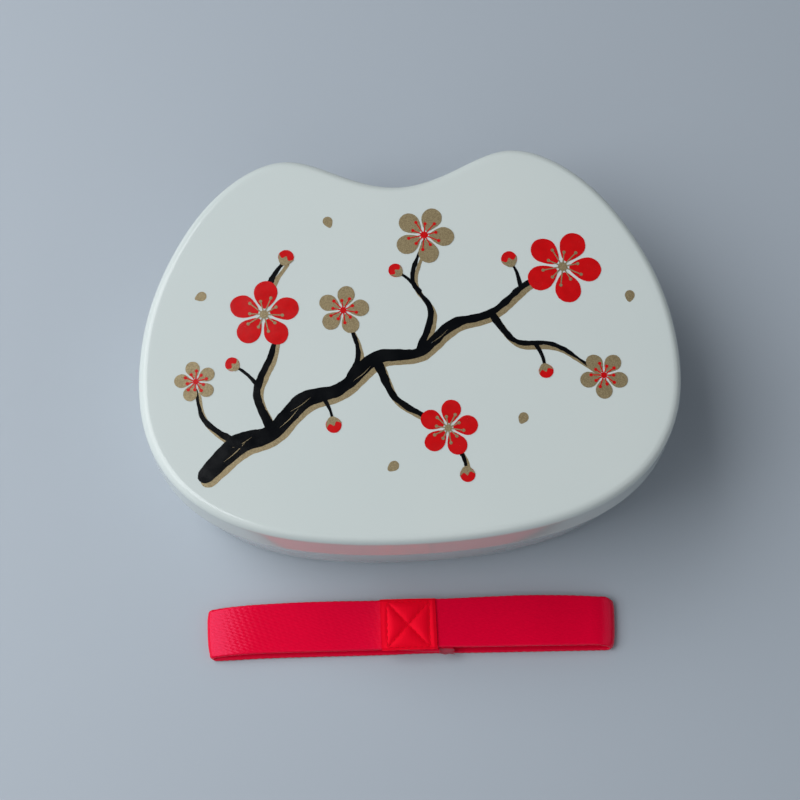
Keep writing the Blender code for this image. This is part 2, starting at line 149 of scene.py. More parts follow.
def closed_spline(points, steps):
    """Points and outward normals of a smooth closed curve through the given points."""
    points = np.asarray(points, float)
    count = len(points)
    ahead = np.roll(points, -1, axis=0) - points
    spans = np.linalg.norm(ahead, axis=1)
    before = np.roll(spans, 1)
    ahead = unit(ahead)
    system = np.diag(2 * (before + spans))
    index = np.arange(count)
    system[index, index - 1] = before
    system[index, (index + 1) % count] = spans
    bend = np.linalg.solve(system, 6 * (ahead - np.roll(ahead, 1, axis=0)))
    ends = np.cumsum(spans)
    along = np.arange(steps) * ends[-1] / steps
    first = np.searchsorted(ends, along, side="right")
    after = (first + 1) % count
    span = spans[first][:, None]
    b = (along[:, None] - (ends[first][:, None] - span)) / span
    a = 1 - b
    places = a * points[first] + b * points[after]
    places += span ** 2 / 6 * ((a ** 3 - a) * bend[first] + (b ** 3 - b) * bend[after])
    slope = (points[after] - points[first]) / span
    slope += span / 6 * ((3 * b ** 2 - 1) * bend[after] - (3 * a ** 2 - 1) * bend[first])
    return places, unit(np.column_stack([slope[:, 1], -slope[:, 0]]))


OUTLINE, OUTLINE_NORMALS = closed_spline(head_points(), ROUND_STEPS)


# Mesh helpers

def corner_arc(centre, radius, first, last, steps=8):
    """Profile points (offset, height) round a corner, from one angle to another in degrees."""
    angles = np.radians(np.linspace(first, last, steps + 1))
    return [(centre[0] + radius * math.cos(t), centre[1] + radius * math.sin(t)) for t in angles]


def add_object(name, data):
    made = bpy.data.objects.new(name, data)
    bpy.context.scene.collection.objects.link(made)
    return made


def mesh_object(name, points, faces, sharp=40):
    """A mesh object with smooth shading and sharp edges past an angle in degrees."""
    mesh = bpy.data.meshes.new(name)
    faces = [tuple(int(i) for i in face) for face in faces]
    mesh.from_pydata([tuple(float(c) for c in p) for p in points], [], faces)
    mesh.validate()
    mesh.shade_smooth()
    mesh.set_sharp_from_angle(angle=math.radians(sharp))
    return add_object(name, mesh)


def ring_faces(rows, columns, closed=False):
    """Faces between rings of points, one after another, with the open ends capped flat."""
    faces = []
    for row in range(rows if closed else rows - 1):
        low = row * columns
        high = (row + 1) % rows * columns
        for i in range(columns):
            j = (i + 1) % columns
            faces.append((low + i, low + j, high + j, high + i))
    if not closed:
        faces.append(tuple(reversed(range(columns))))
        faces.append(tuple(range((rows - 1) * columns, rows * columns)))
    return faces


def join_parts(name, parts, sharp=60):
    """One mesh object of several closed parts."""
    points = []
    faces = []
    for part_points, part_faces in parts:
        base = len(points)
        points.extend(part_points)
        faces.extend(tuple(base + i for i in face) for face in part_faces)
    return mesh_object(name, points, faces, sharp)


def head_shell(name, profile, closed=False):
    """Sweep a profile of (offset, height) round the head outline and cap its open ends flat."""
    points = []
    for offset, height in profile:
        ring = OUTLINE + OUTLINE_NORMALS * offset
        points.extend((x, y, height) for x, y in ring)
    return mesh_object(name, points, ring_faces(len(profile), ROUND_STEPS, closed))


def rounded_rectangle(left, right, front, back, radius):
    """Anticlockwise outline of a rectangle with rounded corners."""
    centres = ((right - radius, back - radius), (left + radius, back - radius),
               (left + radius, front + radius), (right - radius, front + radius))
    outline = []
    for quarter, centre in enumerate(centres):
        outline += corner_arc(centre, radius, 90 * quarter, 90 * quarter + 90, 6)
    return outline


def rounded_plate(outline, low, high, radius, order=(0, 1, 2)):
    """Points and faces of a plate with rounded edges. The order picks x, y and z from outline and level."""
    outline = np.array(outline)
    ahead = unit(np.roll(outline, -1, axis=0) - outline)
    inward = np.column_stack([-ahead[:, 1], ahead[:, 0]])
    before = np.roll(inward, 1, axis=0)
    mitre = (inward + before) / (1 + np.sum(inward * before, axis=1))[:, None]
    turns = np.radians(np.linspace(0, 90, 5))
    levels = [(radius * (1 - math.sin(t)), low + radius * (1 - math.cos(t))) for t in turns]
    levels += [(inset, low + high - level) for inset, level in reversed(levels)]
    rings = []
    for inset, level in levels:
        rings.append(np.column_stack([outline + mitre * inset, np.full(len(outline), level)]))
    return np.vstack(rings)[:, order], ring_faces(len(levels), len(outline))


def place(piece, body, slot, material, *nodes):
    """Give a piece its material and its body, and hide the solids that it stands for. The slot is not used.
    """
    piece.data.materials.append(material)
    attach(piece, body)
    if nodes:
        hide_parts(*nodes)


# Material helpers

class Shader:
    """A Principled material whose textures read object coordinates."""

    def __init__(self, name, colour, roughness, **sockets):
        self.material = bpy.data.materials.new(name)
        self.material.use_nodes = True
        self.tree = self.material.node_tree
        self.principled = self.tree.nodes["Principled BSDF"]
        self.principled.inputs["Base Color"].default_value = (*colour, 1.0)
        self.principled.inputs["Roughness"].default_value = roughness
        for socket, value in sockets.items():
            self.principled.inputs[socket.replace("_", " ")].default_value = value
        self.coordinates = self.tree.nodes.new("ShaderNodeTexCoord").outputs["Object"]
        self.material.diffuse_color = (*colour, 1.0)

    def node(self, kind, **settings):
        made = self.tree.nodes.new("ShaderNode" + kind)
        for setting, value in settings.items():
            setattr(made, setting, value)
        return made

    def link(self, output, socket):
        self.tree.links.new(output, socket)

    def moved(self, scale, turn):
        """Object coordinates, turned and stretched."""
        mapping = self.node("Mapping")
        mapping.inputs["Scale"].default_value = scale
        mapping.inputs["Rotation"].default_value = turn
        self.link(self.coordinates, mapping.inputs["Vector"])
        return mapping.outputs["Vector"]

    def noise(self, scale, detail=2.0, rough=0.5, vector=None):
        made = self.node("TexNoise")
        made.inputs["Scale"].default_value = scale
        made.inputs["Detail"].default_value = detail
        made.inputs["Roughness"].default_value = rough
        self.link(vector or self.coordinates, made.inputs["Vector"])
        return made.outputs["Fac"]

    def cells(self, scale):
        """Small cells: each one's own value, and the distance from its middle."""
        made = self.node("TexVoronoi", feature="F1")
        made.inputs["Scale"].default_value = scale
        self.link(self.coordinates, made.inputs["Vector"])
        return made.outputs["Color"], made.outputs["Distance"]

    def ramp(self, value, low, high, start=0.0, end=1.0):
        """Map a value from one range to another, clamped."""
        made = self.node("MapRange")
        for socket, number in zip(("From Min", "From Max", "To Min", "To Max"), (low, high, start, end)):
            made.inputs[socket].default_value = number
        self.link(value, made.inputs["Value"])
        return made.outputs["Result"]

    def math(self, operation, first, second=0.0):
        made = self.node("Math", operation=operation)
        for socket, value in zip(made.inputs, (first, second)):
            if isinstance(value, (int, float)):
                socket.default_value = value
            else:
                self.link(value, socket)
        return made.outputs["Value"]

    def mix(self, share, first, second):
        """Blend two colours by a share."""
        made = self.node("Mix", data_type="RGBA")
        self.link(share, made.inputs["Factor"])
        for socket, value in ((made.inputs[6], first), (made.inputs[7], second)):
            if isinstance(value, tuple):
                socket.default_value = (*value, 1.0)
            else:
                self.link(value, socket)
        return made.outputs[2]

    def colour(self, output):
        self.link(output, self.principled.inputs["Base Color"])

    def mottle(self, value, low, high, first, second):
        """Colour that goes from one to another as a value rises."""
        self.colour(self.mix(self.ramp(value, low, high), first, second))

    def roughness(self, output):
        self.link(output, self.principled.inputs["Roughness"])

    def bump(self, height, distance, strength=1.0, under=None):
        made = self.node("Bump")
        made.inputs["Strength"].default_value = strength
        made.inputs["Distance"].default_value = distance
        self.link(height, made.inputs["Height"])
        if under:
            self.link(under, made.inputs["Normal"])
        self.link(made.outputs["Normal"], self.principled.inputs["Normal"])
        return made.outputs["Normal"]


def darkened(colour, share):
    return tuple(c * share for c in colour)


def lacquer_material():
    """White urethane lacquer: even gloss, faint orange peel, fine dust and hairline marks."""
    shader = Shader("white_lacquer", (0.66, 0.713, 0.692), 0.1, IOR=1.45)
    shader.mottle(shader.noise(14.0, 3.0), 0.35, 0.65, (0.653, 0.708, 0.690), (0.674, 0.723, 0.701))
    hairs = shader.noise(900.0, 2.0, 0.6, shader.moved((1.0, 0.05, 1.0), (0.0, 0.0, 0.5)))
    smear = shader.noise(45.0, 4.0, 0.6)
    hairlines = shader.ramp(hairs, 0.62, 0.75, 0.0, 0.035)
    smears = shader.ramp(smear, 0.4, 0.7, 0.0, 0.03)
    shader.roughness(shader.math("ADD", shader.math("ADD", hairlines, smears), 0.075))
    peel = shader.bump(shader.noise(260.0, 2.0, 0.4), 0.00001, 0.35)
    _, from_middle = shader.cells(120.0)
    shader.bump(shader.ramp(from_middle, 0.0, 0.035, 1.0, 0.0), 0.00002, 0.5, peel)
    return shader.material


def milky_material(name, colour, roughness):
    """Moulded plastic or silicone with a fine satin grain and a little light passing through."""
    shader = Shader(name, colour, roughness, Subsurface_Weight=0.15, Subsurface_Scale=0.002)
    shader.mottle(shader.noise(22.0, 3.0), 0.3, 0.7, darkened(colour, 0.94), colour)
    shader.roughness(shader.ramp(shader.noise(160.0, 4.0), 0.3, 0.7, roughness - 0.06, roughness + 0.08))
    shader.bump(shader.noise(2200.0, 2.0), 0.00001, 0.5)
    return shader.material


def ink_material(name, colour, roughness, spot=None, spot_share=0.0):
    """Printed ink with tiny pinholes or flecks and a slightly uneven coat."""
    shader = Shader(name, colour, roughness, IOR=1.5)
    tone = shader.ramp(shader.noise(500.0, 3.0), 0.3, 0.7)
    blend = shader.mix(tone, darkened(colour, 0.86), colour)
    if spot:
        value, from_middle = shader.cells(900.0)
        chosen = shader.ramp(value, 1.0 - spot_share, 1.0 - spot_share + 0.01)
        near = shader.ramp(from_middle, 0.25, 0.32, 1.0, 0.0)
        blend = shader.mix(shader.math("MULTIPLY", chosen, near), blend, spot)
    shader.colour(blend)
    shader.roughness(shader.ramp(shader.noise(220.0, 3.0), 0.3, 0.7, roughness - 0.03, roughness + 0.06))
    shader.bump(shader.noise(700.0, 3.0), 0.00001, 0.3)
    return shader.material


def gold_material():
    """Muted gold ink, a matt ochre base full of fine metal flakes."""
    shader = Shader("gold_ink", (0.33, 0.25, 0.13), 0.42, Metallic=0.35, IOR=1.5)
    flake, from_middle = shader.cells(3600.0)
    shader.mottle(flake, 0.1, 0.95, (0.235, 0.175, 0.085), (0.44, 0.345, 0.195))
    shader.roughness(shader.ramp(flake, 0.0, 1.0, 0.55, 0.28))
    shader.bump(from_middle, 0.00003, 0.4)
    return shader.material


# Box

# How far a profile runs in over the flat before its cap
FLAT_RUN = 0.0012
PLUG_FILLET = 0.0008
GRIP_CORNER = 0.45 * GRIP_WIDTH
GRIP_ROUND = 0.0005
GRIP_SUNK = 0.0006
FOOT_CORNER = 0.0010
DIVIDER_ROUND = 0.0003
# Heights over the container's underside
LID_RIM = LEDGE_HEIGHT + REST_GAP
NECK_TOP = LEDGE_HEIGHT + NECK_HEIGHT
FLANGE = NECK_TOP + REST_GAP
PLUG_BOTTOM = FLANGE - PLUG_DEPTH
LID_SURFACE = FLANGE + INNER_LID_TOP + GRIP_HEIGHT + LID_HEADROOM + LID_TOP


def skirt_lean(height):
    return (height - LID_RIM) * math.tan(SKIRT_FLARE)


def neck_offset(height):
    return -(LID_WALL + LID_CLEARANCE) - skirt_lean(height)


def cavity_offset(height):
    return neck_offset(NECK_TOP) - NECK_WALL - (NECK_TOP - height) * math.tan(CAVITY_TAPER)


def body_offset(height):
    return -BODY_SETBACK - (LEDGE_HEIGHT - height) * math.tan(WALL_TAPER)


def plug_offset(height):
    return cavity_offset(height) - PLUG_CLEARANCE


def outer_lid_profile():
    """From the middle of the underside, out and round the rim, and up to the middle of the top."""
    under = LID_SURFACE - LID_TOP
    flare = math.degrees(SKIRT_FLARE)
    shoulder = LID_SURFACE - LID_FILLET
    outer = (-skirt_lean(shoulder) - LID_FILLET / math.cos(SKIRT_FLARE), shoulder)
    bend = under - LID_INNER_FILLET
    inner = (-LID_WALL - skirt_lean(bend) - LID_INNER_FILLET / math.cos(SKIRT_FLARE), bend)
    profile = [(inner[0] - FLAT_RUN, under)] + corner_arc(inner, LID_INNER_FILLET, 90, flare, 6)
    bend = LID_RIM + LID_RIM_ROUND
    above = bend + LID_RIM_ROUND
    profile.append((-LID_WALL - skirt_lean(above), above))
    profile += corner_arc((-LID_WALL + LID_RIM_ROUND, bend), LID_RIM_ROUND, 180, 270, 4)
    profile += corner_arc((-LID_RIM_ROUND, bend), LID_RIM_ROUND, -90, 0, 4)
    profile.append((-skirt_lean(above), above))
    profile += corner_arc(outer, LID_FILLET, flare, 90, 14)
    return profile + [(outer[0] - FLAT_RUN, LID_SURFACE)]


def container_profile():
    """From the middle of the underside, out, up the wall, over the ledge and neck, down to the floor."""
    taper = math.degrees(WALL_TAPER)
    foot = (body_offset(BASE_FILLET) - BASE_FILLET / math.cos(WALL_TAPER), BASE_FILLET)
    profile = [(foot[0] - FLAT_RUN, 0.0)] + corner_arc(foot, BASE_FILLET, -90, -taper, 12)
    level = LEDGE_HEIGHT - LEDGE_ROUND
    edge = (body_offset(level) - LEDGE_ROUND, level)
    profile.append((body_offset(level - LEDGE_ROUND), level - LEDGE_ROUND))
    profile += corner_arc(edge, LEDGE_ROUND, 0, 90, 5)
    profile.append((neck_offset(LEDGE_HEIGHT), LEDGE_HEIGHT))
    lip = NECK_WALL / 3
    outer = neck_offset(NECK_TOP)
    inner = cavity_offset(NECK_TOP)
    profile += corner_arc((outer - lip, NECK_TOP - lip), lip, 0, 90, 5)
    profile += corner_arc((inner + lip, NECK_TOP - lip), lip, 90, 180, 5)
    bend = FLOOR_THICKNESS + FLOOR_FILLET
    hollow = (cavity_offset(bend) - FLOOR_FILLET / math.cos(CAVITY_TAPER), bend)
    profile += corner_arc(hollow, FLOOR_FILLET, -math.degrees(CAVITY_TAPER), -90, 10)
    return profile + [(hollow[0] - FLAT_RUN, FLOOR_THICKNESS)]


def groove_heights():
    """Lower and upper side of the groove in the inner lid's plug."""
    top = FLANGE - GROOVE_BELOW_FLANGE
    return top - GROOVE_WIDTH, top


def inner_lid_profile():
    """From the middle of the underside, down and round the plug, up to the flange and onto the top."""
    high = FLANGE + INNER_LID_TOP
    groove_low, groove_top = groove_heights()
    outside = plug_offset(PLUG_BOTTOM)
    inside = outside - PLUG_WALL
    edge = neck_offset(FLANGE) - FLANGE_INSET
    cut = INNER_LID_ROUND
    bend = inside - PLUG_FILLET
    profile = [(bend - FLAT_RUN, FLANGE)] + corner_arc((bend, FLANGE - PLUG_FILLET), PLUG_FILLET, 90, 0, 4)
    profile.append((inside, PLUG_BOTTOM + 2 * cut))
    profile += corner_arc((inside + cut, PLUG_BOTTOM + cut), cut, 180, 270, 4)
    profile += corner_arc((outside - cut, PLUG_BOTTOM + cut), cut, -90, 0, 4)
    groove = plug_offset(groove_low) - GROOVE_DEPTH
    profile += [(plug_offset(groove_low), groove_low), (groove, groove_low), (groove, groove_top)]
    profile += [(plug_offset(groove_top), groove_top), (plug_offset(FLANGE), FLANGE)]
    profile += corner_arc((edge - cut, FLANGE + cut), cut, -90, 0, 4)
    profile += corner_arc((edge - cut, high - cut), cut, 0, 90, 4)
    return profile + [(edge - cut - FLAT_RUN, high)]


def make_inner_lid(material):
    """Flat lid with its plug, and a rounded ridge near the chin to lift it by."""
    high = FLANGE + INNER_LID_TOP
    front = -LID_DEPTH / 2 - neck_offset(FLANGE) + FLANGE_INSET + GRIP_FROM_EDGE
    outline = rounded_rectangle(-GRIP_LENGTH / 2, GRIP_LENGTH / 2, front, front + GRIP_WIDTH, GRIP_CORNER)
    ridge = rounded_plate(outline, high - GRIP_SUNK, high + GRIP_HEIGHT, GRIP_ROUND)
    lid = head_shell("inner_lid_shell", inner_lid_profile())
    place(lid, "inner_lid", "milky_plastic", material, "inner_lid")
    place(join_parts("inner_lid_ridge", [ridge], 40), "inner_lid", "milky_plastic", material)


def make_gasket(material):
    """Seal ring with two round lips, seated in the plug's groove."""
    groove_low, groove_top = groove_heights()
    low = groove_low + SEAL_CLEARANCE
    high = groove_top - SEAL_CLEARANCE
    back = plug_offset(low + SEAL_CLEARANCE) - GROOVE_DEPTH + SEAL_CLEARANCE
    waist = cavity_offset(low) - 2 * SEAL_CLEARANCE
    profile = [(back, low)]
    for share in np.linspace(0, 1, 17):
        lip = SEAL_CLEARANCE * math.sin(2 * math.pi * share) ** 2
        profile.append((waist + lip, low + (high - low) * share))
    profile.append((back, high))
    ring = head_shell("inner_lid_seal", profile, closed=True)
    place(ring, "inner_lid", "silicone", material, "inner_lid_gasket")


def crossing(offset, x):
    """Front and back y where a line of constant x crosses the outline moved outward by an offset."""
    ring = OUTLINE + OUTLINE_NORMALS * offset
    after = np.roll(ring, -1, axis=0)
    hit = ((ring[:, 0] - x) * (after[:, 0] - x) <= 0) & (ring[:, 0] != after[:, 0])
    start = ring[hit]
    run = after[hit] - start
    found = start[:, 1] + (x - start[:, 0]) / run[:, 0] * run[:, 1]
    return found.min(), found.max()


def divider_span(height, half_thickness):
    """Front and back y of the divider at a height, inside the container's wall and floor fillet."""
    bend = FLOOR_THICKNESS + FLOOR_FILLET
    offset = cavity_offset(height) - DIVIDER_CLEARANCE
    if height < bend:
        reach = FLOOR_FILLET - DIVIDER_CLEARANCE
        offset = cavity_offset(bend) - FLOOR_FILLET + math.sqrt(max(0.0, reach ** 2 - (bend - height) ** 2))
    spans = [crossing(offset, DIVIDER_X + side * half_thickness) for side in (-1, 1)]
    return max(span[0] for span in spans), min(span[1] for span in spans)


def make_divider(material):
    """Upright plate with rounded edges that follows the container's section, on a flat foot."""
    floor = FLOOR_THICKNESS + REST_GAP
    top = PLUG_BOTTOM - DIVIDER_HEADROOM
    half = DIVIDER_THICKNESS / 2
    heights = [floor + FLOOR_FILLET * share for share in np.linspace(0, 1, 9)] + [top]
    spans = [divider_span(height, half) for height in heights]
    section = [(back, height) for (front, back), height in zip(spans, heights)]
    section += [(front, height) for (front, back), height in reversed(list(zip(spans, heights)))]
    plate = rounded_plate(section, DIVIDER_X - half, DIVIDER_X + half, DIVIDER_ROUND, (2, 0, 1))
    reach = FOOT_WIDTH / 2
    front, back = divider_span(floor, reach)
    outline = rounded_rectangle(DIVIDER_X - reach, DIVIDER_X + reach, front, back, FOOT_CORNER)
    foot = rounded_plate(outline, floor, floor + FOOT_THICKNESS, DIVIDER_ROUND)
    place(join_parts("divider_plate", [plate], 40), "divider", "milky_plastic", material, "divider")
    place(join_parts("divider_foot", [foot], 40), "divider", "milky_plastic", material)


def make_box():
    lacquer = lacquer_material()
    milky = milky_material("milky_plastic", (0.78, 0.80, 0.79), 0.34)
    silicone = milky_material("silicone", (0.70, 0.73, 0.73), 0.48)
    place(head_shell("outer_lid_shell", outer_lid_profile()), "outer_lid", "lacquer", lacquer, "outer_lid")
    place(head_shell("container_shell", container_profile()), "container", "lacquer", lacquer, "container")
    make_inner_lid(milky)
    make_gasket(silicone)
    make_divider(milky)


# Print on the lid

INK_THICKNESS = 0.00003
INK_LIFT = 0.00001
FILL_LIFT = 0.000002


def wobble(points, amount, seed):
    """Roughen a closed outline a little, as a screen print's edge is."""
    points = np.asarray(points, float)
    ahead = np.roll(points, -1, axis=0) - np.roll(points, 1, axis=0)
    normals = unit(np.column_stack([ahead[:, 1], -ahead[:, 0]]))
    shifts = []
    for x, y in points:
        slow = noise.noise(Vector((x * 300, y * 300, seed)))
        fast = noise.noise(Vector((x * 2200, y * 2200, seed + 7.3)))
        shifts.append([amount * (slow + 0.45 * fast)])
    return points + normals * shifts


def disc(centre, radius, steps):
    angles = np.linspace(0, 2 * math.pi, steps, endpoint=False)
    return radius * np.column_stack([np.cos(angles), np.sin(angles)]) + centre


def open_curve(points, steps):
    """A smooth open curve through a few points."""
    points = np.asarray(points, float)
    padded = np.vstack([2 * points[0] - points[1], points, 2 * points[-1] - points[-2]])
    places = []
    for i in range(len(points) - 1):
        a, b, c, d = padded[i:i + 4]
        for t in np.linspace(0, 1, steps, endpoint=i == len(points) - 2):
            places.append(0.5 * (2 * b + (c - a) * t + (2 * a - 5 * b + 4 * c - d) * t ** 2
                                 + (3 * b - a - 3 * c + d) * t ** 3))
    return np.array(places)


def brush(points, widths, steps=14):
    """Outline of a brush stroke along a smooth curve, with its width given at each point."""
    middle = open_curve(points, steps)
    width = np.interp(np.linspace(0, len(points) - 1, len(middle)), range(len(widths)), widths)
    ahead = unit(np.gradient(middle, axis=0))
    side = np.column_stack([-ahead[:, 1], ahead[:, 0]])
    reach = side * width[:, None] / 2
    turns = np.radians(np.linspace(90, -90, 9)[1:-1, None])
    first = middle[0] - ahead[0] * width[0] / 2 * np.cos(turns) + reach[0] * np.sin(turns)
    last = middle[-1] + ahead[-1] * width[-1] / 2 * np.cos(turns) + reach[-1] * np.sin(turns)
    return np.vstack([middle + reach, last, (middle - reach)[::-1], first[::-1]])


def print_motif(name, fills, inks, ink, level):
    """A thin layer of ink in closed outlines. In each fill, outlines after the first are holes."""
    parts = []
    bottom = LID_SURFACE + INK_LIFT + level * (INK_THICKNESS + INK_LIFT)
    for number, outlines in enumerate(fills):
        curve = bpy.data.curves.new(name, "CURVE")
        curve.dimensions = "2D"
        curve.fill_mode = "BOTH"
        curve.extrude = INK_THICKNESS / 2
        for outline in outlines:
            spline = curve.splines.new("POLY")
            spline.points.add(len(outline) - 1)
            for point, (x, y) in zip(spline.points, outline):
                point.co = (float(x), float(y), 0.0, 1.0)
            spline.use_cyclic_u = True
        holder = bpy.data.objects.new(name, curve)
        mesh = holder.to_mesh()
        height = bottom + INK_THICKNESS / 2 + number * FILL_LIFT
        points = [(v.co.x, v.co.y, v.co.z + height) for v in mesh.vertices]
        parts.append((points, [tuple(face.vertices) for face in mesh.polygons]))
        holder.to_mesh_clear()
        bpy.data.objects.remove(holder)
        bpy.data.curves.remove(curve)
    place(join_parts(name, parts, 30), "outer_lid", ink, inks[ink])


# A flowering plum branch, a common motif, in millimetres from the middle of the lid.
# Strokes: points of the middle line, then the width at each point
BRANCH_STROKES = (
    (((-63, -39), (-53, -30), (-43, -27), (-33, -17.5), (-21, -14), (-10, -5), (3, -4), (14, 4.5), (26, 7.5),
      (37, 16), (44, 19.2)),
     (5.0, 6.6, 4.8, 5.4, 3.8, 4.4, 3.0, 3.4, 2.2, 1.9, 1.2)),
    (((-43, -26), (-47, -14), (-42.5, -3), (-40.4, 4.6)), (3.0, 2.2, 1.9, 1.4)),
    (((-42.8, 17.5), (-41.2, 22.5), (-37.1, 28.3)), (2.0, 1.7, 1.2)),
    (((-20, -14), (-15.5, -3), (-19, 9)), (2.4, 1.6, 0.7)),
    (((-10, -6), (-5, -18), (5.2, -25.4)), (2.8, 2.0, 1.5)),
    (((12.6, -34.0), (14.6, -38.2), (15.1, -41.8)), (1.4, 1.1, 0.8)),
    (((3, -4), (7.5, 9), (2.5, 20), (7, 33)), (2.4, 1.8, 1.4, 0.7)),
    (((26, 7.5), (33, -2), (45, -4), (57, -13)), (2.3, 1.7, 1.3, 0.7)),
    (((-53, -30), (-63, -22), (-65.5, -12)), (2.4, 1.6, 0.7)),
)
# Long dry slits that the brush leaves in its widest stroke: first point, last point and width
DRY_SLITS = (
    ((-57.5, -35.2), (-50.5, -29.0), 0.30),
    ((-55.0, -31.0), (-49.0, -28.0), 0.24),
    ((-40.5, -25.6), (-34.5, -19.8), 0.30),
    ((-37.0, -20.6), (-30.5, -16.3), 0.22),
    ((-17.5, -12.0), (-12.0, -7.6), 0.24),
    ((7.0, -1.2), (12.5, 3.0), 0.20),
)
GOLD_SLIP = (0.9, -1.4)
# Blossoms: middle, radius, turn in degrees and ink
BLOSSOMS = (
    (-44.0, 11.0, 11.0, 12, "red_ink"),
    (10.5, -28.5, 9.0, 6, "red_ink"),
    (49.5, 21.5, 12.0, 62, "red_ink"),
    (7.0, 34.5, 9.5, 64, "gold_ink"),
    (-19.5, 11.0, 8.0, 5, "gold_ink"),
    (59.0, -14.5, 7.5, 50, "gold_ink"),
    (-65.5, -9.5, 6.5, 30, "gold_ink"),
)
# Buds: foot of the stalk, middle and radius
BUDS = (
    ((-37.1, 28.3), (-36.5, 29.5), 2.5),
    ((15.1, -41.8), (15.3, -43.2), 2.3),
    ((36.0, 15.4), (33.0, 25.0), 2.5),
    ((4.4, 16.0), (-2.6, 23.2), 2.2),
    ((-27.0, -16.4), (-24.0, -25.6), 2.4),
    ((39.0, -3.2), (41.5, -12.2), 2.2),
    ((-46.5, -12.0), (-54.2, -4.6), 2.2),
)
# Stamens: width of a hair and radius of its dot
STAMEN_WIDTH = 0.36
STAMEN_DOT = 0.525
# Single petals: middle and turn in degrees
FALLEN_PETALS = ((-9.0, -41.0, 35), (-22.0, 38.0, 110), (32.0, -29.0, 60), (69.0, 8.0, 80), (-66.0, 17.0, 20))
PETAL_LENGTH = 4.6
# Outlines of a petal and of a bud's cup, in shares of the radius: place along and place across
PETAL_REACH = ((0.17, 0.0), (0.36, 0.22), (0.66, 0.335), (0.92, 0.215), (1.0, 0.0), (0.92, -0.215),
               (0.66, -0.335), (0.36, -0.22))
CUP_REACH = ((-1.15, 0.0), (-0.80, 0.62), (0.05, 0.98), (-0.30, 0.42), (0.12, 0.0), (-0.30, -0.42),
             (0.05, -0.98), (-0.80, -0.62))


def petal(centre, radius, turn):
    """One round petal of a blossom, pointing away from its middle."""
    spin = np.array([[math.cos(turn), math.sin(turn)], [-math.sin(turn), math.cos(turn)]])
    return closed_spline(radius * np.array(PETAL_REACH) @ spin + centre, 60)[0] * MM


def blossom_fills(x, y, radius, degrees):
    """Five petals."""
    turns = [math.radians(degrees + 72 * i) for i in range(5)]
    return [[wobble(petal((x, y), radius, turn), 0.00014, i + x)] for i, turn in enumerate(turns)]


def stamen_fills(x, y, radius, degrees):
    """A small disc with fine hairs that end in dots."""
    fills = [[wobble(disc((x, y), 0.12 * radius, 24) * MM, 0.00008, x)]]
    for i in range(10):
        turn = math.radians(degrees + 36 * i + 18)
        ahead = radius * np.array((math.cos(turn), math.sin(turn)))
        root = (x, y) + 0.10 * ahead
        tip = (x, y) + (0.52 if i % 2 else 0.40) * ahead
        fills.append([brush((root, tip), (STAMEN_WIDTH, STAMEN_WIDTH), 4) * MM])
        fills.append([disc(tip, STAMEN_DOT, 14) * MM])
    return fills


def calyx(foot, middle, radius):
    """A cup of three short lobes that holds a bud from the side of its stalk."""
    ahead = np.subtract(middle, foot)
    ahead /= np.linalg.norm(ahead)
    side = np.array((-ahead[1], ahead[0]))
    return np.array([middle + radius * (a * ahead + b * side) for a, b in CUP_REACH])


def make_print():
    inks = {
        "red_ink": ink_material("red_ink", (0.66, 0.003, 0.005), 0.22, (0.62, 0.60, 0.58), 0.012),
        "black_ink": ink_material("black_ink", (0.0015, 0.002, 0.003), 0.16),
        "gold_ink": gold_material(),
    }
    strokes = [brush(points, widths) for points, widths in BRANCH_STROKES]
    slipped = [[wobble((stroke + GOLD_SLIP) * MM, 0.00022, 50 + i)] for i, stroke in enumerate(strokes)]
    print_motif("branch_gold_edge", slipped, inks, "gold_ink", 0)
    covered = [[wobble(stroke * MM, 0.00034, 70 + i)] for i, stroke in enumerate(strokes)]
    for first, last, width in DRY_SLITS:
        middle = (np.add(first, last) / 2) + (0.25, -0.2)
        covered[0].append(brush((first, middle, last), (0.06, width, 0.06), 8) * MM)
    for number, (foot, middle, radius) in enumerate(BUDS):
        bend = (np.add(foot, middle) / 2) + (0.5, 0.3)
        widths = np.minimum((1.5, 1.0, 0.7), 0.4 + 0.3 * math.dist(foot, middle))
        covered.append([wobble(brush((foot, bend, middle), widths, 8) * MM, 0.00012, 90 + number)])
    print_motif("branch", covered, inks, "black_ink", 1)
    for number, (x, y, radius, degrees, ink) in enumerate(BLOSSOMS):
        print_motif(f"blossom_{number + 1}", blossom_fills(x, y, radius, degrees), inks, ink, 2)
        hairs = "red_ink" if ink == "gold_ink" else "gold_ink"
        print_motif(f"stamens_{number + 1}", stamen_fills(x, y, radius, degrees), inks, hairs, 3)
    buds = [[wobble(disc((x, y), radius, 40) * MM, 0.00014, x)] for _, (x, y), radius in BUDS]
    print_motif("buds", buds, inks, "red_ink", 2)
    cups = [[closed_spline(calyx(foot, middle, radius), 48)[0] * MM] for foot, middle, radius in BUDS]
    print_motif("bud_cups", cups, inks, "gold_ink", 3)
    fallen = [[wobble(petal((x, y), PETAL_LENGTH, math.radians(turn)), 0.00012, x)]
              for x, y, turn in FALLEN_PETALS]
    print_motif("fallen_petals", fallen, inks, "gold_ink", 0)


# Belt

STRIP_STEP = 0.0003
OUTER_COLUMNS = 96
INNER_COLUMNS = 20
RIB_PITCH = 0.00095
RIB_SLANT = math.radians(23.5)
RIB_HEIGHT = 0.000042
FLOAT_LENGTH = 0.0024
# The ribs stand higher near the left end, from this far left of the middle and over this length
RAISED_FROM = 0.040
RAISED_OVER = 0.015
SCALLOP = 0.00004
# The left part of the upper layer sags before the patch and bends down slowly towards its fold
LEFT_SAG = 0.00035
LEFT_SAG_REACH = 0.0060
LEFT_FOLD_REACH = 0.0160
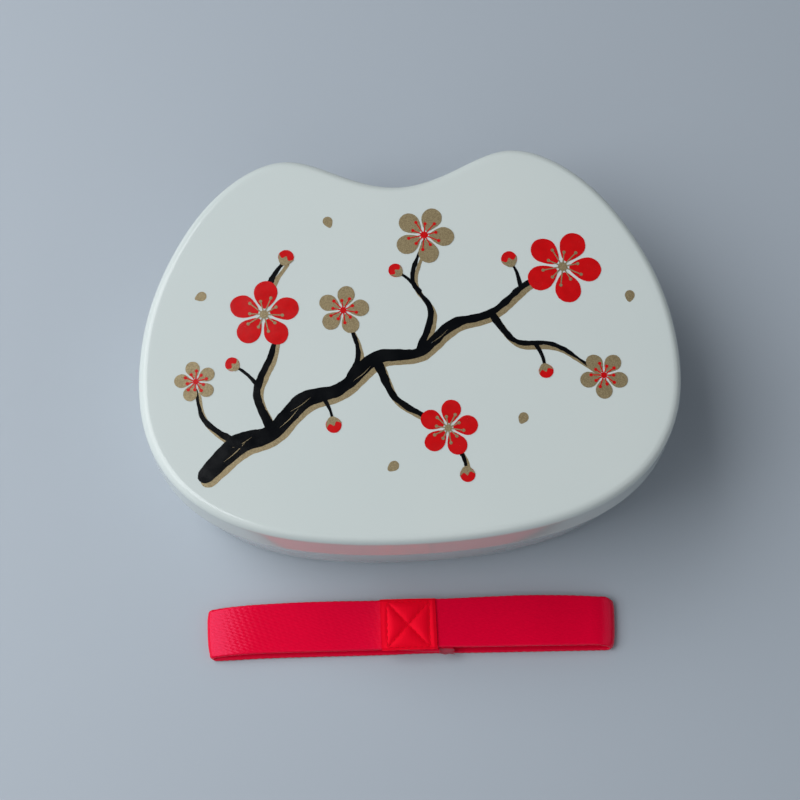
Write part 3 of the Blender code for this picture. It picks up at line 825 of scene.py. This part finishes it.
# How far the layers bow towards the back, as (place along the belt, bow) in millimetres
LOWER_BOW = ((-66, -0.60), (-60, -0.55), (-49, -0.20), (-36, -0.05), (-10, 0.05), (4, 0.28), (28, 0.10),
             (66, 0.0))
UPPER_BACK_BOW = ((-66, -1.7), (-61, -1.05), (-56, -0.68), (-49, -0.28), (-36, 0.22), (-23, 0.30),
                  (-12, 0.10), (10, 0.0), (22, 0.25), (35, 0.50), (48, 0.36), (55, 0.10), (60, -0.22),
                  (62.5, -0.10), (64, 0.0), (66, -0.9))
# How far the ends are drawn in, as (place across the belt, pull) in millimetres
LEFT_PULL = ((-8.5, 1.9), (-7.4, 1.05), (-6.1, 0.77), (-4.8, 0.52), (-3.4, 0.33), (-1.0, 0.15), (4.0, 0.0),
             (7.0, 0.25), (8.5, 0.7))
RIGHT_PULL = ((-8.5, 1.8), (-6.6, 0.80), (-5.2, 0.55), (-3.9, 0.35), (-0.4, 0.15), (5.0, 0.0), (6.4, 0.12),
              (7.8, 0.42), (8.5, 0.80))
PULL_REACH = 0.0085


def belt_to_world(x, y, z):
    """Points in the belt's own frame, x along it and y across it, as rows of x, y and z."""
    turned_x = x * math.cos(BELT_TURN) - y * math.sin(BELT_TURN)
    turned_y = x * math.sin(BELT_TURN) + y * math.cos(BELT_TURN)
    centre_y = -LID_DEPTH / 2 - BELT_FROM_LID - BELT_WIDTH / 2
    return np.stack(np.broadcast_arrays(BELT_X + turned_x, centre_y + turned_y, z), axis=-1)


def smooth_step(value):
    value = np.clip(value, 0.0, 1.0)
    return value * value * (3 - 2 * value)


def layer_level(gap):
    """Height of the middle of a layer that lies over another with a gap."""
    return 1.5 * BELT_THICKNESS + gap


PATCH_LEFT = PATCH_X - PATCH_LENGTH / 2
PATCH_RIGHT = PATCH_X + PATCH_LENGTH / 2
TAIL_LEVEL = layer_level(LAP_GAP)
CROWN_LEVEL = TAIL_LEVEL + BELT_THICKNESS + OVERLAP_GAP
PATCH_LEVEL = CROWN_LEVEL + BELT_THICKNESS / 2 + REST_GAP
LOOP_END = BELT_LENGTH / 2 - BELT_THICKNESS / 2
# The right fold's upper quarter is an ellipse, as round at its end as the turn below it
RIGHT_FOLD_REACH = (BELT_THICKNESS + RIGHT_FOLD_GAP - FOLD_TURN) ** 2 / FOLD_TURN


def fold(side, gap, upper_reach):
    """Half turn at one end of the loop, from the upper layer down, as rows of x, back shift and z."""
    angle = np.radians(np.linspace(90, -90, 60))[1:-1]
    above = angle > 0
    reach = np.where(above, upper_reach, FOLD_TURN)
    drop = np.where(above, BELT_THICKNESS + gap - FOLD_TURN, FOLD_TURN)
    x = side * (LOOP_END - reach + reach * np.cos(angle))
    rise = FOLD_TURN + drop * np.sin(angle)
    shift = UPPER_LAYER_SHIFT * rise / (BELT_THICKNESS + gap)
    return np.column_stack([x, shift, BELT_THICKNESS / 2 + rise])


def belt_route():
    """The strip's middle line at even steps: x, back shift and z, and the outward normal's x and z."""
    right = LOOP_END - RIGHT_FOLD_REACH
    left = LEFT_FOLD_REACH - LOOP_END
    under = LOOP_END - FOLD_TURN
    x = np.linspace(PATCH_LEFT, right, 200)
    end = layer_level(RIGHT_FOLD_GAP)
    z = CROWN_LEVEL + (end - CROWN_LEVEL) * smooth_step((x - BELT_CROWN_X) / (right - BELT_CROWN_X))
    upper = np.column_stack([x, np.full_like(x, UPPER_LAYER_SHIFT), z])
    x = np.linspace(under, -under, 400)
    lower = np.column_stack([x, np.zeros_like(x), np.full_like(x, BELT_THICKNESS / 2)])
    x = np.linspace(left, PATCH_RIGHT + OVERLAP_TAIL, 200)
    low = layer_level(LEFT_FOLD_GAP) - LEFT_SAG
    z = low + (TAIL_LEVEL - low) * np.exp(np.minimum(x - PATCH_LEFT, 0.0) / LEFT_SAG_REACH)
    drift = smooth_step((x - PATCH_LEFT) / PATCH_LENGTH)
    tail = np.column_stack([x, UPPER_LAYER_SHIFT + (TAIL_SHIFT - UPPER_LAYER_SHIFT) * drift, z])
    right_fold = fold(1, RIGHT_FOLD_GAP, RIGHT_FOLD_REACH)
    left_fold = fold(-1, LEFT_FOLD_GAP - LEFT_SAG, LEFT_FOLD_REACH)
    rows = np.vstack([upper, right_fold, lower, left_fold[::-1], tail])
    along = np.concatenate([[0], np.cumsum(np.hypot(np.diff(rows[:, 0]), np.diff(rows[:, 2])))])
    even = np.arange(0, along[-1], STRIP_STEP)
    route = np.column_stack([np.interp(even, along, rows[:, k]) for k in range(3)])
    ahead = np.gradient(route, axis=0)
    length = np.hypot(ahead[:, 0], ahead[:, 2])
    return even, route, -ahead[:, 2] / length, ahead[:, 0] / length


def along_curve(table, where):
    """Read a smooth curve through a table of (place, value) pairs, all in millimetres."""
    curve = open_curve(table, 12) * MM
    return np.interp(where, curve[:, 0], curve[:, 1])


def belt_bow(x, y, z):
    """How far the loop bows towards the back, its upper layer most along its back edge."""
    lower = along_curve(LOWER_BOW, x)
    raised = smooth_step(z / CROWN_LEVEL)
    return lower + (along_curve(UPPER_BACK_BOW, x) - lower) * raised * smooth_step(0.5 + y / BELT_WIDTH)


def end_pull(x, y):
    """How far the folds' edges and their front corners are drawn in towards the middle."""
    near = BELT_LENGTH / 2 - PULL_REACH
    left = along_curve(LEFT_PULL, y) * smooth_step((-x - near) / PULL_REACH)
    right = along_curve(RIGHT_PULL, y) * smooth_step((x - near) / PULL_REACH)
    return left - right


def rib_height(along, across):
    """Twill ribs, each a row of floats with a dip between one and the next."""
    phase = (along * math.sin(RIB_SLANT) + across * math.cos(RIB_SLANT)) / RIB_PITCH
    run = (along * math.cos(RIB_SLANT) - across * math.sin(RIB_SLANT)) / FLOAT_LENGTH
    row = np.floor(phase)
    rib = np.sin(math.pi * (phase - row)) ** 0.7
    stagger = np.modf(row * 0.381966 + 0.2)[0]
    dip = np.abs(np.cos(math.pi * (run + stagger))) ** 6
    return RIB_HEIGHT * rib * (1 - 0.55 * dip)


def make_belt_band():
    """The webbing: one strip, looped flat, with its ends lapped under the patch."""
    along, route, normal_x, normal_z = belt_route()
    edge = BELT_THICKNESS / 2
    flat = BELT_WIDTH / 2 - edge
    turn = np.radians(np.linspace(90, -90, 9))[1:-1]
    across = np.concatenate([np.linspace(-flat, flat, OUTER_COLUMNS), flat + edge * np.cos(turn),
                             np.linspace(flat, -flat, INNER_COLUMNS), -flat - edge * np.cos(turn)])
    through = np.concatenate([np.full(OUTER_COLUMNS, edge), edge * np.sin(turn),
                              np.full(INNER_COLUMNS, -edge), -edge * np.sin(turn)])
    outer = np.clip(through / edge, 0, 1)
    s, y = np.meshgrid(along, across, indexing="ij")
    raised = 0.6 + 0.7 * smooth_step((-route[:, 0, None] - RAISED_FROM) / RAISED_OVER)
    ribs = (rib_height(s, y) - RIB_HEIGHT * 0.6) * outer * raised
    wave = np.sin(2 * math.pi * s * math.sin(RIB_SLANT) / RIB_PITCH)
    scallop = SCALLOP * wave * np.abs(y / (BELT_WIDTH / 2)) ** 12
    height = through[None, :] + ribs
    x = route[:, 0, None] + normal_x[:, None] * height
    z = route[:, 2, None] + normal_z[:, None] * height
    shifted_y = y + np.sign(y) * scallop + route[:, 1, None] + belt_bow(x, y, z)
    points = belt_to_world(x + end_pull(x, y), shifted_y, z).reshape(-1, 3)
    # The strip's rings run the other way round, so its faces are turned over
    faces = [face[:1] + face[:0:-1] for face in ring_faces(*s.shape)]
    return mesh_object("belt_webbing", points, faces, 70)


PATCH_GRID = 140
PATCH_HALF_WIDTH = BELT_WIDTH / 2 + PATCH_OVERHANG
SEAM_HALF_LENGTH = PATCH_LENGTH / 2 - STITCH_FROM_SIDES
SEAM_HALF_WIDTH = PATCH_HALF_WIDTH - STITCH_FROM_EDGES
PATCH_FOLDS = 0.00042
PUFF = 0.00072
MARGIN_PUFF = 0.00035
CREASE_HEIGHT = 0.00005
SEAM_REACH = 0.0011
SEAM_LEFT = 0.0002
SLANT = 0.0002
SIDE_DROOP = 0.0003
BACK_ROLL = 0.0005
FRONT_ROLL = 0.00035
UNDERSIDE_SUNK = 0.0001


def patch_to_world(x, y, z):
    return belt_to_world(PATCH_X + x, UPPER_LAYER_SHIFT - PATCH_FORWARD + y, z)


def stitch_lines():
    """Ends of the seam's straight runs on the patch: a box, then its cross."""
    left = -SEAM_HALF_LENGTH - SEAM_LEFT
    right = SEAM_HALF_LENGTH - SEAM_LEFT
    back = SEAM_HALF_WIDTH
    corners = [(left, -back), (right, -back), (right, back), (left, back)]
    return [(corners[i], corners[j]) for i, j in ((0, 1), (1, 2), (2, 3), (3, 0), (0, 2), (3, 1))]


def distance_to_line(x, y, start, end):
    """Distance of points to a straight run between two ends."""
    run = np.subtract(end, start)
    share = np.clip(((x - start[0]) * run[0] + (y - start[1]) * run[1]) / run.dot(run), 0, 1)
    return np.hypot(x - start[0] - share * run[0], y - start[1] - share * run[1])


def patch_surface(x, y):
    """Height of the patch's upper side over its underside, puffed between the seam's runs."""
    distances = [distance_to_line(x, y, start, end) for start, end in stitch_lines()]
    free = np.prod([1 - np.exp(-distance / SEAM_REACH) for distance in distances], axis=0)
    within = (np.abs(x + SEAM_LEFT) < SEAM_HALF_LENGTH) & (np.abs(y) < SEAM_HALF_WIDTH)
    return PATCH_FOLDS + free * np.where(within, PUFF, MARGIN_PUFF)


def edge_step(reach, share):
    """Rise from 0 to 1 over the outermost share of a reach that is 1 at the edge."""
    return smooth_step((reach - 1) / share + 1)


def make_belt_patch():
    """Satin square sewn over the lapped ends, puffed between its seams, its sides bent down."""
    share = np.linspace(-1, 1, PATCH_GRID)
    u, v = np.meshgrid(share, share, indexing="ij")
    x = u * PATCH_LENGTH / 2 - SLANT * (v + (1 - u) / 2)
    y = v * PATCH_HALF_WIDTH * np.where(v < 0, 0.985 - 0.010 * u, 1.012)
    crease = [noise.noise(Vector((a * 260, b * 260, 4.2))) for a, b in zip(x.flat, y.flat)]
    upper = patch_surface(x, y) + CREASE_HEIGHT * np.reshape(crease, x.shape)
    roll = np.where(v > 0, BACK_ROLL, FRONT_ROLL) * edge_step(np.abs(v), 0.10)
    level = PATCH_LEVEL - SIDE_DROOP * (edge_step(-u, 0.23) + edge_step(u, 0.12))
    top = patch_to_world(x, y, level + upper - roll).reshape(-1, 3)
    bottom = patch_to_world(x, y, level - UNDERSIDE_SUNK).reshape(-1, 3)
    points = np.vstack([top, bottom])
    count = PATCH_GRID * PATCH_GRID
    grid = np.arange(count).reshape(PATCH_GRID, PATCH_GRID)
    faces = []
    squares = np.stack([grid[:-1, :-1], grid[1:, :-1], grid[1:, 1:], grid[:-1, 1:]], axis=-1)
    for square in squares.reshape(-1, 4):
        faces += [square, square[::-1] + count]
    rim = np.concatenate([grid[:, 0], grid[-1, 1:], grid[-2::-1, -1], grid[0, -2:0:-1]])
    faces += [(b, a, a + count, b + count) for a, b in zip(rim, np.roll(rim, -1))]
    return mesh_object("belt_satin_patch", points, faces, 60)


STITCH_PITCH = 0.0021
STITCH_GAP = 0.00045
THREAD_RADIUS = 0.00013
FRAY_STRANDS = 80
FRAY_RADIUS = 0.0001


def tube(path, radii, sides=8):
    """Points and faces of a closed tube along a path in space."""
    ahead = unit(np.gradient(path, axis=0))
    side = unit(np.cross(ahead, (0.0, 0.0, 1.0)))
    up = np.cross(side, ahead)
    turns = np.linspace(0, 2 * math.pi, sides, endpoint=False)
    points = []
    for centre, a, b, radius in zip(path, side, up, radii):
        points.extend(centre + radius * (a * math.cos(t) + b * math.sin(t)) for t in turns)
    return points, ring_faces(len(path), sides)


def make_belt_stitching():
    """Single stitches along the seam, each dipping into the satin at its ends."""
    parts = []
    for start, end in stitch_lines():
        run = np.subtract(end, start)
        length = np.linalg.norm(run)
        count = max(1, round(length / STITCH_PITCH))
        gap = STITCH_GAP / 2 / length
        for i in range(count):
            shares = np.linspace(i / count + gap, (i + 1) / count - gap, 7)
            x = start[0] + shares * run[0]
            y = start[1] + shares * run[1]
            arch = np.sin(np.linspace(0, math.pi, 7)) ** 0.5
            z = PATCH_LEVEL + patch_surface(x, y) + THREAD_RADIUS * (arch - 0.35)
            parts.append(tube(patch_to_world(x, y, z), THREAD_RADIUS * (0.45 + 0.55 * arch)))
    return join_parts("belt_stitches", parts)


def make_belt_fray():
    """Pale cut yarns of the strip's inner end, which show in front beside the patch. Their colour is darkened
    with painted shade.
    """
    draw = random.Random(8)
    parts = []
    for _ in range(FRAY_STRANDS):
        depth = draw.uniform(-0.0004, 0.0011)
        level = TAIL_LEVEL + BELT_THICKNESS / 2 - max(0.0, -depth) * draw.uniform(0.0, 3.0)
        start = PATCH_RIGHT + draw.uniform(0.0005, 0.0038)
        length = draw.uniform(0.0014, 0.0032)
        end = min(start + length, PATCH_RIGHT + OVERLAP_TAIL + draw.uniform(-0.0003, 0.0005))
        x = np.linspace(start, end, 9)
        wave = 0.00010 * np.sin(np.linspace(0, draw.uniform(2, 5), 9) + draw.uniform(0, 6))
        droop = draw.uniform(0.0, 0.0004) * np.linspace(0, 1, 9) ** 2
        y = -BELT_WIDTH / 2 + TAIL_SHIFT + depth - droop + wave
        z = level + draw.uniform(-0.00002, 0.00008) + 0.5 * wave
        parts.append(tube(belt_to_world(x, y, z), np.full(9, FRAY_RADIUS), 5))
    return join_parts("belt_fray", parts)


def webbing_material():
    """Red twill elastic: dull yarn with a faint sheen and darker grooves."""
    shader = Shader("red_webbing", (0.81, 0.0003, 0.031), 0.22, IOR=1.55, Specular_IOR_Level=1.0,
                    Specular_Tint=(0.4, 0.10, 0.20, 1.0))
    turn = (0.0, 0.0, RIB_SLANT - BELT_TURN)
    yarn = shader.noise(3200.0, 3.0, 0.6, shader.moved((0.25, 1.0, 1.0), turn))
    cloud = shader.noise(60.0, 3.0)
    tone = shader.math("ADD", shader.ramp(yarn, 0.35, 0.65, 0.0, 0.7), shader.ramp(cloud, 0.3, 0.7, 0.0, 0.3))
    shader.colour(shader.mix(tone, (0.77, 0.0003, 0.029), (0.87, 0.0003, 0.034)))
    shader.bump(yarn, 0.00002, 0.4)
    return shader.material


def satin_material():
    """Red satin ribbon: fine warp lines with a soft lengthwise gloss."""
    shader = Shader("red_satin", (0.95, 0.0005, 0.016), 0.50, Metallic=0.12, Specular_IOR_Level=0.9,
                    Specular_Tint=(1.0, 0.05, 0.12, 1.0))
    warp = shader.noise(2600.0, 2.0, 0.5, shader.moved((1.0, 0.06, 1.0), (0.0, 0.0, -BELT_TURN)))
    shader.mottle(warp, 0.3, 0.7, (0.92, 0.0005, 0.015), (0.98, 0.0005, 0.018))
    shader.bump(warp, 0.00001, 0.4)
    return shader.material


def thread_material(name, colour, gloss):
    """Sewing thread or cut yarn, with a gloss of its own tint."""
    shader = Shader(name, colour, 0.5, Specular_IOR_Level=0.5, Specular_Tint=(*gloss, 1.0))
    twist = shader.noise(3500.0, 2.0)
    shader.mottle(twist, 0.35, 0.65, darkened(colour, 0.88), colour)
    shader.bump(twist, 0.00001, 0.4)
    return shader.material


def make_belt():
    place(make_belt_band(), "belt", "webbing", webbing_material(), "belt_band")
    place(make_belt_patch(), "belt", "satin", satin_material(), "belt_patch")
    thread = thread_material("red_thread", (0.84, 0.0006, 0.013), (1.0, 0.10, 0.20))
    place(make_belt_stitching(), "belt", "thread", thread, "belt_stitching")
    # The cut yarns' colour is partly their own pale pink and partly painted shade, darker than the yarn is.
    pale = thread_material("pale_yarn_painted_shade", (0.40, 0.06, 0.09), (0.8, 0.5, 0.55))
    place(make_belt_fray(), "belt", "thread", pale)


# Stage, light and camera

FLOOR_REACH = 2.0
DAYLIGHT = (0.95, 0.98, 1.0)
FILL_LIGHT = (0.92, 0.96, 1.0)


def make_stage():
    corners = [(x * FLOOR_REACH, y * FLOOR_REACH, 0) for x, y in ((-1, -1), (1, -1), (1, 1), (-1, 1))]
    floor = mesh_object("floor", corners, [(0, 1, 2, 3)])
    floor.data.materials.append(Shader("pale_floor", (0.43, 0.475, 0.53), 0.55).material)


def area_light(name, spot, aim, width, height, power, colour):
    light = bpy.data.lights.new(name, "AREA")
    light.shape = "RECTANGLE"
    light.size = width
    light.size_y = height
    light.energy = power
    light.color = colour
    lamp = add_object(name, light)
    lamp.location = spot
    lamp.rotation_euler = (Vector(aim) - Vector(spot)).to_track_quat("-Z", "Y").to_euler()


def make_lights():
    world = bpy.data.worlds.new("soft_room")
    world.use_nodes = True
    background = world.node_tree.nodes["Background"]
    background.inputs["Color"].default_value = (0.72, 0.80, 0.90, 1.0)
    background.inputs["Strength"].default_value = 0.055
    bpy.context.scene.world = world
    middle = (0.0, 0.0, 0.03)
    area_light("key", (-0.696, 0.20, 0.941), (0.0, 0.20, 0.0), 1.3, 0.88, 13.6, DAYLIGHT)
    area_light("left_wall", (-1.2, 0.25, 0.375), (0.0, 0.25, 0.375), 2.3, 0.69, 4.4, DAYLIGHT)
    area_light("right_fill", (1.09, -0.2, 0.708), middle, 1.4, 0.9, 2.3, FILL_LIGHT)
    area_light("ceiling", (-0.22, -0.8, 1.1), middle, 1.2, 1.0, 2.2, FILL_LIGHT)
    area_light("front_fill", (0.2, -1.3, 0.5), middle, 1.2, 0.8, 0.4, FILL_LIGHT)


def make_camera():
    """The photograph's view: the fitted aim and angles are in a frame that is turned with the table."""
    aim = Matrix.Rotation(-OBJECT_YAW, 4, "Z") @ Matrix.Translation((*CAMERA_AIM, 0.0))
    tilt = Matrix.Rotation(math.pi / 2 - CAMERA_ELEVATION, 4, "X")
    back = Matrix.Translation((0.0, 0.0, CAMERA_DISTANCE)) @ Matrix.Rotation(CAMERA_ROLL, 4, "Z")
    data = bpy.data.cameras.new("camera")
    data.lens = CAMERA_LENS
    data.sensor_fit = "HORIZONTAL"
    data.sensor_width = 36.0
    data.clip_start = 0.01
    camera = add_object("camera", data)
    camera.matrix_world = aim @ tilt @ back
    bpy.context.scene.camera = camera


make_camera()
make_stage()
make_lights()
make_box()
make_print()
make_belt()
bpy.context.scene.view_settings.view_transform = "Standard"
